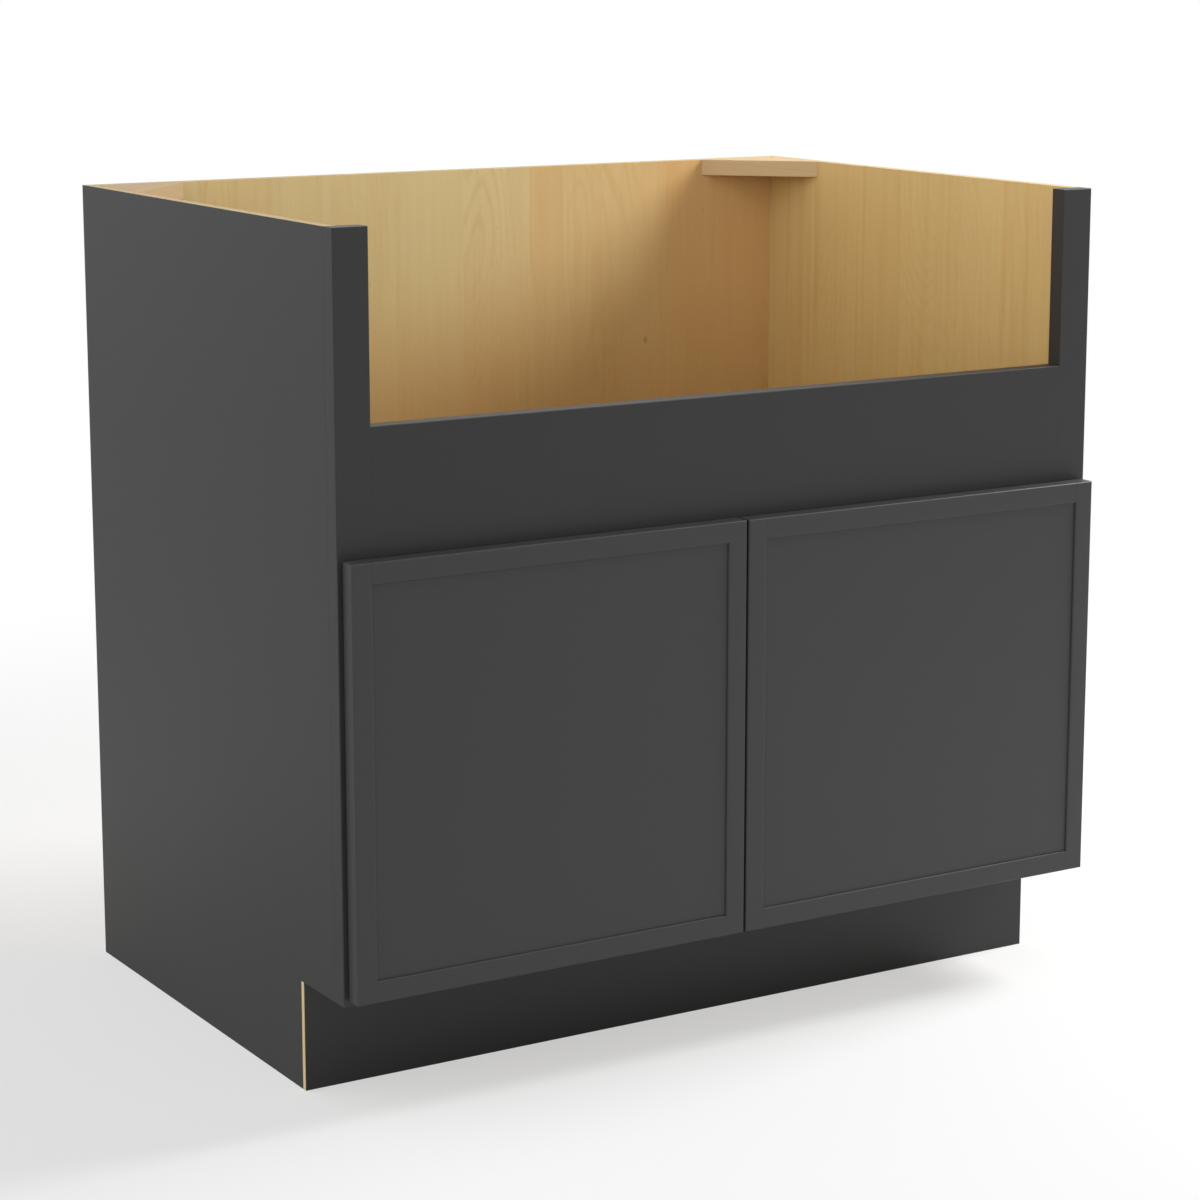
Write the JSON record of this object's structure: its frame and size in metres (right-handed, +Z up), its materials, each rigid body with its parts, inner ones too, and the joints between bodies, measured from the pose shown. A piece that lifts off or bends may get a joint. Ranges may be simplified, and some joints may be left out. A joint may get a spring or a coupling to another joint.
{
  "type": "sink base cabinet",
  "caption": "Face-framed sink base cabinet with a recessed toe kick, a front cut-out for an apron sink and slim-framed doors on concealed cup hinges.",
  "frame": {"origin": "middle of the whole footprint, doors counted, on the floor", "axes": "+X to the right as one faces the doors, +Y from the doors to the back, +Z up"},
  "size_m": [0.9144, 0.6306, 0.8763],
  "materials": {
    "charcoal_paint": "satin charcoal grey paint on plywood and hardwood",
    "maple_ply": "clear-finished maple-faced plywood, grain upright",
    "solid_maple": "clear-finished solid maple",
    "hinge_steel": "nickel-plated pressed steel",
    "screw_steel": "zinc-plated steel",
    "bumper": "soft translucent polyurethane"
  },
  "bodies": {
    "cabinet": {"side_panel_left": "charcoal_paint", "corner_block_back_left": "solid_maple", "frame_stile_left": "charcoal_paint", "side_panel_right": "charcoal_paint", "corner_block_back_right": "solid_maple", "frame_stile_right": "charcoal_paint", "back_panel": "maple_ply", "bottom_panel": "maple_ply", "toe_kick_backer": "maple_ply", "toe_kick_skin": "charcoal_paint", "apron_rail": "charcoal_paint", "frame_bottom_rail": "charcoal_paint", "left_upper_hinge_arm": "hinge_steel", "left_upper_hinge_arm_screw_1": "screw_steel", "left_upper_hinge_arm_screw_2": "screw_steel", "left_lower_hinge_arm": "hinge_steel", "left_lower_hinge_arm_screw_1": "screw_steel", "left_lower_hinge_arm_screw_2": "screw_steel", "right_upper_hinge_arm": "hinge_steel", "right_upper_hinge_arm_screw_1": "screw_steel", "right_upper_hinge_arm_screw_2": "screw_steel", "right_lower_hinge_arm": "hinge_steel", "right_lower_hinge_arm_screw_1": "screw_steel", "right_lower_hinge_arm_screw_2": "screw_steel"},
    "left_outer_links": {"left_upper_hinge_outer_link": "hinge_steel", "left_lower_hinge_outer_link": "hinge_steel"},
    "left_inner_links": {"left_upper_hinge_inner_link": "hinge_steel", "left_lower_hinge_inner_link": "hinge_steel"},
    "left_door": {"left_door_hinge_stile": "charcoal_paint", "left_door_meeting_stile": "charcoal_paint", "left_door_top_rail": "charcoal_paint", "left_door_bottom_rail": "charcoal_paint", "left_door_panel": "charcoal_paint", "left_upper_bumper": "bumper", "left_upper_hinge_cup": "hinge_steel", "left_upper_hinge_cup_screw_1": "screw_steel", "left_upper_hinge_cup_screw_2": "screw_steel", "left_lower_bumper": "bumper", "left_lower_hinge_cup": "hinge_steel", "left_lower_hinge_cup_screw_1": "screw_steel", "left_lower_hinge_cup_screw_2": "screw_steel"},
    "right_outer_links": {"right_upper_hinge_outer_link": "hinge_steel", "right_lower_hinge_outer_link": "hinge_steel"},
    "right_inner_links": {"right_upper_hinge_inner_link": "hinge_steel", "right_lower_hinge_inner_link": "hinge_steel"},
    "right_door": {"right_door_hinge_stile": "charcoal_paint", "right_door_meeting_stile": "charcoal_paint", "right_door_top_rail": "charcoal_paint", "right_door_bottom_rail": "charcoal_paint", "right_door_panel": "charcoal_paint", "right_upper_bumper": "bumper", "right_upper_hinge_cup": "hinge_steel", "right_upper_hinge_cup_screw_1": "screw_steel", "right_upper_hinge_cup_screw_2": "screw_steel", "right_lower_bumper": "bumper", "right_lower_hinge_cup": "hinge_steel", "right_lower_hinge_cup_screw_1": "screw_steel", "right_lower_hinge_cup_screw_2": "screw_steel"}
  },
  "joints": [
    {"name": "left_outer_link_pivot", "type": "hinge", "parent": "cabinet", "child": "left_outer_links", "pos_m": [-0.40831, -0.28724, 0.34], "axis": [0, 0, 1], "range_deg": [0, 45.85]},
    {"name": "left_inner_link_pivot", "type": "hinge", "parent": "cabinet", "child": "left_inner_links", "pos_m": [-0.38204, -0.28059, 0.34], "axis": [0, 0, 1], "range_deg": [0, 31.55]},
    {"name": "left_door_swing", "type": "hinge", "parent": "left_outer_links", "child": "left_door", "pos_m": [-0.43705, -0.30091, 0.34], "axis": [0, 0, 1], "range_deg": [-150.83, 0]},
    {"name": "right_outer_link_pivot", "type": "hinge", "parent": "cabinet", "child": "right_outer_links", "pos_m": [0.40831, -0.28724, 0.34], "axis": [0, 0, 1], "range_deg": [-45.85, 0]},
    {"name": "right_inner_link_pivot", "type": "hinge", "parent": "cabinet", "child": "right_inner_links", "pos_m": [0.38204, -0.28059, 0.34], "axis": [0, 0, 1], "range_deg": [-31.55, 0]},
    {"name": "right_door_swing", "type": "hinge", "parent": "right_outer_links", "child": "right_door", "pos_m": [0.43705, -0.30091, 0.34], "axis": [0, 0, 1], "range_deg": [0, 150.83]}
  ],
  "couplings": [
    {"joint": "left_outer_link_pivot", "follows": "left_door_swing", "ratio": -0.30385},
    {"joint": "left_inner_link_pivot", "follows": "left_door_swing", "ratio": -0.20904},
    {"joint": "right_outer_link_pivot", "follows": "right_door_swing", "ratio": -0.30385},
    {"joint": "right_inner_link_pivot", "follows": "right_door_swing", "ratio": -0.20904}
  ]
}
